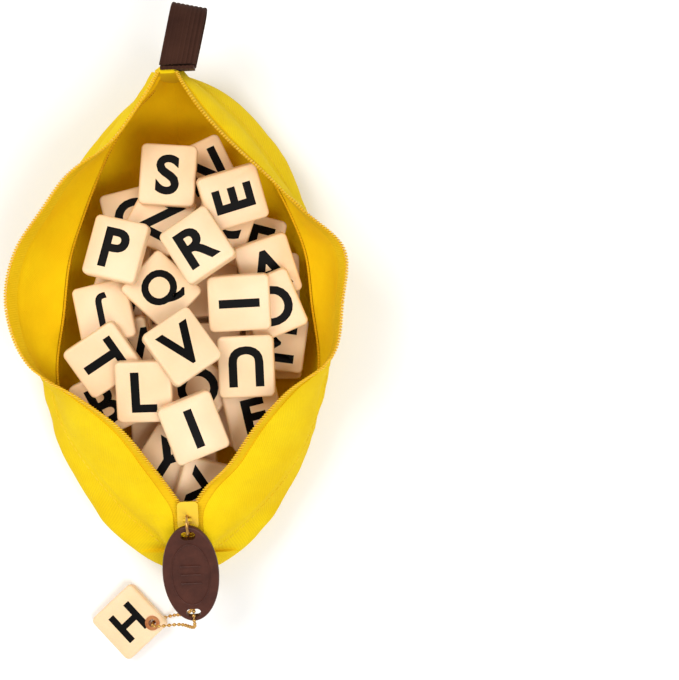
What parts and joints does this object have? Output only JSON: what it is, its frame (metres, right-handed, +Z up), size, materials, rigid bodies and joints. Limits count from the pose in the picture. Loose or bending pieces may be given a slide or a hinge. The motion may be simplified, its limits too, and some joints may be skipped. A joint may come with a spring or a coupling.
{
  "type": "soft zipped pouch filled with letter tiles",
  "caption": "Soft zipped canvas pouch standing open on a flat base, filled with loose letter tiles, with a hang loop, an oval pull tag and a tile-shaped fob on a bead chain.",
  "frame": {"origin": "middle of the pouch's flat base, on the surface it stands on", "axes": "+Z up out of the open mouth, +Y along the zip from the slider to the hang loop, +X to the right seen from above with the loop at the top"},
  "size_m": [0.1544, 0.2992, 0.0691],
  "materials": {
    "canvas": "soft plain weave, yellow",
    "lining": "soft plain weave, deep yellow",
    "zip_tape": "woven tape, yellow",
    "zip_coil": "satin, orange",
    "slider_enamel": "gloss enamel, yellow",
    "brass": "polished",
    "tag_leather": "smooth, dark brown",
    "webbing": "ribbed webbing, dark brown",
    "ivory_tile": "smooth satin, ivory"
  },
  "bodies": {
    "pouch": {"base_panel": "canvas", "head_end_patch": "canvas", "zip_end_tab": "canvas", "bottom_stop": "brass", "loop_anchor": "webbing", "tile_pile_1": "ivory_tile", "tile_pile_2": "ivory_tile", "tile_pile_3": "ivory_tile", "tile_pile_top": "ivory_tile", "left_lower_panel": "canvas", "left_seam_binding": "lining", "left_tail_panel": "canvas", "left_tail_tape": "zip_tape", "left_tail_coil": "zip_coil", "left_head_panel": "canvas", "left_head_tape": "zip_tape", "left_head_coil": "zip_coil", "right_lower_panel": "canvas", "right_seam_binding": "lining", "right_tail_panel": "canvas", "right_tail_tape": "zip_tape", "right_tail_coil": "zip_coil", "right_head_panel": "canvas", "right_head_tape": "zip_tape", "right_head_coil": "zip_coil"},
    "left_flap": {"left_flap_panel": "canvas", "left_flap_tape": "zip_tape", "left_flap_coil": "zip_coil"},
    "right_flap": {"right_flap_panel": "canvas", "right_flap_tape": "zip_tape", "right_flap_coil": "zip_coil"},
    "slider": {"slider_body": "slider_enamel"},
    "pull": {"pull_link": "brass", "pull_tag": "tag_leather", "chain_at_tag": "brass"},
    "chain": {"chain_runs": "brass"},
    "fob": {"fob_tile": "ivory_tile", "fob_eyelet": "brass", "chain_at_fob": "brass"},
    "hang_loop": {"hang_loop": "webbing"},
    "tile_i": {"tile_i": "ivory_tile"},
    "tile_v": {"tile_v": "ivory_tile"},
    "tile_r": {"tile_r": "ivory_tile"}
  },
  "joints": [
    {"name": "left_flap_fold", "type": "hinge", "parent": "pouch", "child": "left_flap", "pos_m": [-0.05921, -0.02013, 0.0338], "axis": [0.1581, 0.9874, 0], "range_deg": [0, 35]},
    {"name": "right_flap_fold", "type": "hinge", "parent": "pouch", "child": "right_flap", "pos_m": [0.0632, -0.02007, 0.0338], "axis": [0.083, -0.9965, 0], "range_deg": [0, 20]},
    {"name": "slider_slide", "type": "slide", "parent": "pouch", "child": "slider", "axis": [0, -1, 0], "range_m": [0, 0.008]},
    {"name": "pull_lift", "type": "hinge", "parent": "slider", "child": "pull", "pos_m": [0, -0.0895, 0.0531], "axis": [-1, 0, 0], "range_deg": [0, 85]},
    {"name": "chain_swing", "type": "hinge", "parent": "pull", "child": "chain", "pos_m": [-0.002, -0.136, 0.026], "axis": [-1, 0, 0], "range_deg": [0, 40]},
    {"name": "fob_turn", "type": "hinge", "parent": "chain", "child": "fob", "pos_m": [-0.02087, -0.13977, 0.00601], "axis": [-0.1045, 0, 0.9945], "range_deg": [-20, 60]},
    {"name": "loop_fold", "type": "hinge", "parent": "pouch", "child": "hang_loop", "pos_m": [0.0045, 0.1134, 0.0596], "axis": [1, 0, 0], "range_deg": [0, 90]},
    {"name": "tile_i_lift", "type": "slide", "parent": "pouch", "child": "tile_i", "axis": [0, 0, 1], "range_m": [0, 0.05]},
    {"name": "tile_v_lift", "type": "slide", "parent": "pouch", "child": "tile_v", "axis": [0, 0, 1], "range_m": [0, 0.05]},
    {"name": "tile_r_lift", "type": "slide", "parent": "pouch", "child": "tile_r", "axis": [0, 0, 1], "range_m": [0, 0.05]}
  ]
}
